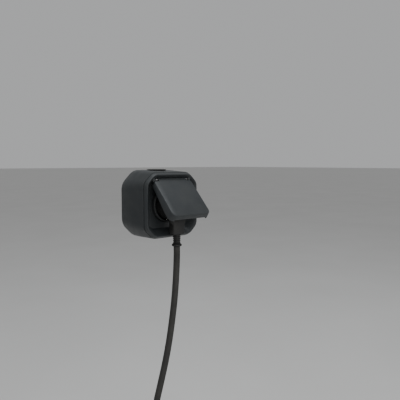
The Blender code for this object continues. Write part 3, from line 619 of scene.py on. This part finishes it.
@dataclass
class Plug:
    """The angled plug with its ribbed relief.

    Attributes:
        edge: the rounding of the body's edges.
        relief_y: the relief's axis along y.
        relief_top: the relief's upper end, inside the plug.
        neck_bottom: where the relief leaves the plug.
        relief_end: the relief's lower end.
    """

    edge: float = 0.7 * MM
    relief_y: float = -58.6 * MM
    relief_top: float = -30.3 * MM
    neck_bottom: float = -35.4 * MM
    relief_end: float = -51.0 * MM

    def build(self) -> bpy.types.Object:
        """Builds the pieces.

        Returns:
            The strain relief.
        """
        softened("plug_body", self.edge)
        return self.relief()

    def relief(self) -> bpy.types.Object:
        """The relief: a slim core that flares to a collar, with ribs along it.

        Returns:
            The piece.
        """
        top, neck, end = self.relief_top, self.neck_bottom, self.relief_end
        root = [(3.2 * MM, top), (4.2 * MM, top - 0.6 * MM), (4.3 * MM, neck - 0.3 * MM),
                (4.4 * MM, neck - 0.7 * MM)]
        waist = [(3.8 * MM, neck - 1.0 * MM), (3.7 * MM, end + 4.4 * MM)]
        collar = [(4.6 * MM, end + 3.7 * MM), (5.7 * MM, end + 3.0 * MM), (6.15 * MM, end + 2.4 * MM),
                  (6.25 * MM, end + 1.7 * MM), (6.15 * MM, end + 1.0 * MM), (5.6 * MM, end + 0.4 * MM),
                  (4.7 * MM, end + 0.1 * MM), (4.3 * MM, end)]
        core = turned(root + waist + collar, lambda a, b, h: Vector((a, self.relief_y + b, h)))
        ribs = RibRow(count=5, pitch=2.3 * MM, first=4.3 * MM, last=3.95 * MM, bead=RIB_BEAD,
                      start=Vector((0.0, self.relief_y, neck - 1.5 * MM)))
        mesh = united([core, ribs.mesh(PLUG_RUBBER.built())])
        return piece_from("relief_ribbed", mesh, PLUG_RUBBER, "plug", ("strain_relief",))


@dataclass
class Lead:
    """The free lead: its hanging part, the tied coil, the straight end and the connector.

    Attributes:
        route: the hanging part's knots, in millimetres.
        radius: the cord's radius.
        centre: the coil's centre, its y that of the point where the lead joins the coil.
        outer: the radius of the outer layer's centreline.
        inner: the radius of the inner layer's centreline.
        pitch: from one turn to the next.
        join_deg: where the lead meets the coil.
        turns: how far it runs round the coil from there.
        outer_turns: how many of those turns the outer layer has, before the inner layer runs back.
        per_turn: points of the centreline to the turn.
        tail_drops: how far below the coil's end the straight end's knots lie.
        tail_end: the straight end's height where it enters the connector's relief.
        connector_top: the connector's upper end.
        relief_gap: how far the connector's relief stays from both of those ends.
        length: the real lead's length; not used.
        knot_step: about how far apart the hanging part's points are.
        connector_edge: the rounding of the connector's edges.
        tie_edge: the rounding of the tie's edges.
    """

    route: tuple[tuple[float, float, float], ...] = (
        (0.0, -58.6, -51.3), (0.0, -58.6, -62.0), (-0.3, -58.3, -75.4), (-1.2, -57.9, -94.4),
        (-3.1, -57.1, -119.8), (-6.0, -56.0, -145.1), (-9.7, -54.9, -170.4), (-14.5, -53.6, -195.4),
        (-20.3, -52.1, -220.2), (-25.9, -50.8, -242.4), (-28.6, -50.4, -254.0),
    )
    radius: float = 4.1 * MM
    centre: Vector = field(default_factory=lambda: Vector((-14.0, -50.4, -307.0)) * MM)
    outer: float = 45.3 * MM
    inner: float = 36.7 * MM
    pitch: float = 8.6 * MM
    join_deg: float = 140.0
    turns: float = 5.0 + 40.0 / 360.0
    outer_turns: float = 2.0
    per_turn: int = 36
    tail_drops: tuple[float, ...] = (9.0 * MM, 21.0 * MM, 36.0 * MM)
    tail_end: float = -358.0 * MM
    connector_top: float = -381.0 * MM
    relief_gap: float = 0.3 * MM
    length: float = 1.57
    knot_step: float = 12.0 * MM
    connector_edge: float = 0.6 * MM
    tie_edge: float = 0.4 * MM

    def smooth(self, knots: list[Vector], step: float) -> list[Vector]:
        """Points on the smooth curve through knots.

        Args:
            knots: the points it passes.
            step: about how far apart the points are.

        Returns:
            The points.
        """
        last = len(knots) - 1
        tangents = [(knots[min(i + 1, last)] - knots[max(i - 1, 0)]).normalized() for i in range(last + 1)]
        path = []
        for i in range(last):
            here, there = knots[i], knots[i + 1]
            chord = (there - here).length
            count = max(2, round(chord / step))
            path += interpolate_bezier(here, here + tangents[i] * chord / 3.0,
                                       there - tangents[i + 1] * chord / 3.0, there, count + 1)[:-1]
        return path + [knots[-1]]

    def coil_point(self, turn: float) -> Vector:
        """A point of the coil's centreline.

        Args:
            turn: turns since the joining.

        Returns:
            The point.
        """
        back = self.outer_turns
        axial = -turn if turn < back else turn - 2.0 * back
        share = min(1.0, max(0.0, turn - back + 0.5))  # the way inwards takes one turn, half of it before
        share = share * share * (3.0 - 2.0 * share)
        reach = self.outer + (self.inner - self.outer) * share
        angle = math.radians(self.join_deg) + 2.0 * math.pi * turn
        return self.centre + Vector((reach * math.cos(angle), self.pitch * axial, reach * math.sin(angle)))

    def path(self) -> list[Vector]:
        """The whole centreline, from the plug's relief to the connector's."""
        knots = [Vector(p) * MM for p in self.route]
        steps = round(self.turns * self.per_turn)
        coil = [self.coil_point(self.turns * k / steps) for k in range(steps + 1)]
        hanging = self.smooth(knots + [coil[0], coil[1]], self.knot_step)
        leave = coil[-1]
        heights = [leave.z - drop for drop in self.tail_drops] + [self.tail_end]
        return hanging + coil[2:] + [Vector((leave.x, leave.y, z)) for z in heights]

    def build(self, relief: bpy.types.Object) -> None:
        """Args:
            relief: the plug's strain relief; not used.
        """
        path = self.path()
        curve = bpy.data.curves.new("lead_cord", "CURVE")
        curve.dimensions = "3D"
        curve.bevel_depth = self.radius
        curve.bevel_resolution = 6
        curve.use_fill_caps = True
        line = curve.splines.new("POLY")
        line.points.add(len(path) - 1)
        for point, place in zip(line.points, path):
            point.co = (*place, 1.0)
        line.use_smooth = True
        curve.materials.append(CORD_RUBBER.built())
        cord = bpy.data.objects.new("lead_cord", curve)
        bpy.context.scene.collection.objects.link(cord)
        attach(cord, "plug")
        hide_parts("cord", "cord_coil", "cord_tail")
        connector = softened("connector_body", self.connector_edge)
        end_relief = self.end_relief(path[-1])
        tie = softened("cord_tie", self.tie_edge)
        tuple(path[0])
        LOG.info("lead: %.3f m along its centreline", sum((b - a).length for a, b in zip(path, path[1:])))

    def end_relief(self, start: Vector) -> bpy.types.Object:
        """The connector's ribbed relief.

        Args:
            start: where the cord enters it.

        Returns:
            The piece.
        """
        top, low = self.tail_end - self.relief_gap, self.connector_top + self.relief_gap
        profile = [(4.4 * MM, top), (5.0 * MM, top - 0.8 * MM), (5.3 * MM, top - 8.0 * MM),
                   (5.9 * MM, low + 3.0 * MM), (6.2 * MM, low + 2.4 * MM), (6.2 * MM, low)]
        core = turned(profile, lambda a, b, h: Vector((start.x + a, start.y + b, h)))
        ribs = RibRow(count=6, pitch=3.0 * MM, first=5.1 * MM, last=6.1 * MM, bead=RIB_BEAD,
                      start=Vector((start.x, start.y, top - 2.4 * MM)))
        mesh = united([core, ribs.mesh(PLUG_RUBBER.built())])
        return piece_from("connector_relief_ribbed", mesh, PLUG_RUBBER, "plug", ("connector_relief",))


def dress_rest() -> None:
    """Gives every CAD node the finish of its slot, shown or not."""
    for name, node in frame["nodes"].items():
        finish = FINISHES[node_slot(name)]
        node.data.materials.clear()
        node.data.materials.append(finish.built())


# ---------------------------------------------------------------- studio


@dataclass(frozen=True)
class Studio:
    """Camera, lights and floor.

    Attributes:
        eye: where the camera stands.
        back: the way from the scene to the camera.
        right: the camera's right.
        lens: its focal length in millimetres.
        sensor: its sensor's width in millimetres.
        floor_drop: how far the floor lies below the object.
        floor_reach: half the floor's width.
        floor_clouds: the floor's clouds to the metre.
        sky: the strength of the even light.
        aim: the point the lamps face.
    """

    eye: tuple[float, float, float] = (-0.3357, -0.4991, 0.0521)
    back: tuple[float, float, float] = (-0.6446, -0.7601, 0.0819)
    right: tuple[float, float, float] = (0.7627, -0.6468, 0.0)
    lens: float = 40.5
    sensor: float = 36.0
    floor_drop: float = 0.012
    floor_reach: float = 40.0
    floor_clouds: float = 3.0
    sky: float = 0.44
    aim: tuple[float, float, float] = (0.0, -0.04, 0.0)

    def camera(self) -> None:
        """Sets the camera at the outlet's front left, a little above it."""
        data = bpy.data.cameras.new("camera")
        data.lens, data.sensor_width, data.clip_start = self.lens, self.sensor, 0.01
        camera = bpy.data.objects.new("camera", data)
        back, right = Vector(self.back), Vector(self.right)
        turn = Matrix((right, back.cross(right), back)).transposed().to_4x4()
        turn.translation = Vector(self.eye)
        camera.matrix_world = turn
        bpy.context.scene.collection.objects.link(camera)
        bpy.context.scene.camera = camera

    def lamp(self, name: str, place: tuple[float, float, float], power: float, size: float,
             colour: tuple[float, float, float] = (1.0, 1.0, 1.0)) -> None:
        """Adds a soft lamp that faces the outlet.

        Args:
            name: the lamp's name.
            place: where it stands.
            power: its power in watts.
            size: its width in metres.
            colour: its colour.
        """
        data = bpy.data.lights.new(name, "AREA")
        data.energy, data.size, data.color = power, size, colour
        lamp = bpy.data.objects.new(name, data)
        lamp.location = place
        lamp.rotation_euler = (Vector(place) - Vector(self.aim)).to_track_quat("Z", "Y").to_euler()
        bpy.context.scene.collection.objects.link(lamp)

    def surroundings(self) -> None:
        """Makes the pale floor and the even light round it."""
        mesh = bpy.data.meshes.new("floor")
        reach, level = self.floor_reach, CAD_LOW.z - self.floor_drop
        corners = [(x * reach, y * reach, level) for x, y in ((-1, -1), (1, -1), (1, 1), (-1, 1))]
        mesh.from_pydata(corners, [], [(0, 1, 2, 3)])
        pale = Tree("pale_floor")
        clouds = pale.ranged(pale.noise(self.floor_clouds), 0.0, 1.0)
        colour = pale.mixed(clouds, (0.60, 0.595, 0.585), (0.63, 0.625, 0.615))
        pale.join(colour, pale.shader.inputs["Base Color"])
        pale.shader.inputs["Roughness"].default_value = 0.9
        mesh.materials.append(pale.material)
        floor = bpy.data.objects.new("floor", mesh)
        bpy.context.scene.collection.objects.link(floor)
        world = bpy.data.worlds.new("studio")
        world.use_nodes = True
        light = world.node_tree.nodes["Background"].inputs
        light["Color"].default_value = (0.98, 0.99, 1.0, 1.0)
        light["Strength"].default_value = self.sky
        bpy.context.scene.world = world

    def build(self) -> None:
        """Builds the whole studio."""
        self.camera()
        self.surroundings()
        self.lamp("key", (0.0, -0.30, 1.50), 15.0, 1.0, (0.93, 0.97, 1.0))
        self.lamp("front", (-0.45, -1.15, 0.35), 6.0, 0.7, (1.0, 0.98, 0.95))
        self.lamp("side", (0.5, -1.2, 0.0), 2.0, 0.7)


def main() -> None:
    """Builds everything in order."""
    logging.basicConfig(level=logging.INFO, format="%(name)s %(message)s")
    Studio().build()
    dress_rest()
    Housing().build()
    Flap().build()
    relief = Plug().build()
    Lead().build(relief)


if __name__ == "__main__":
    main()
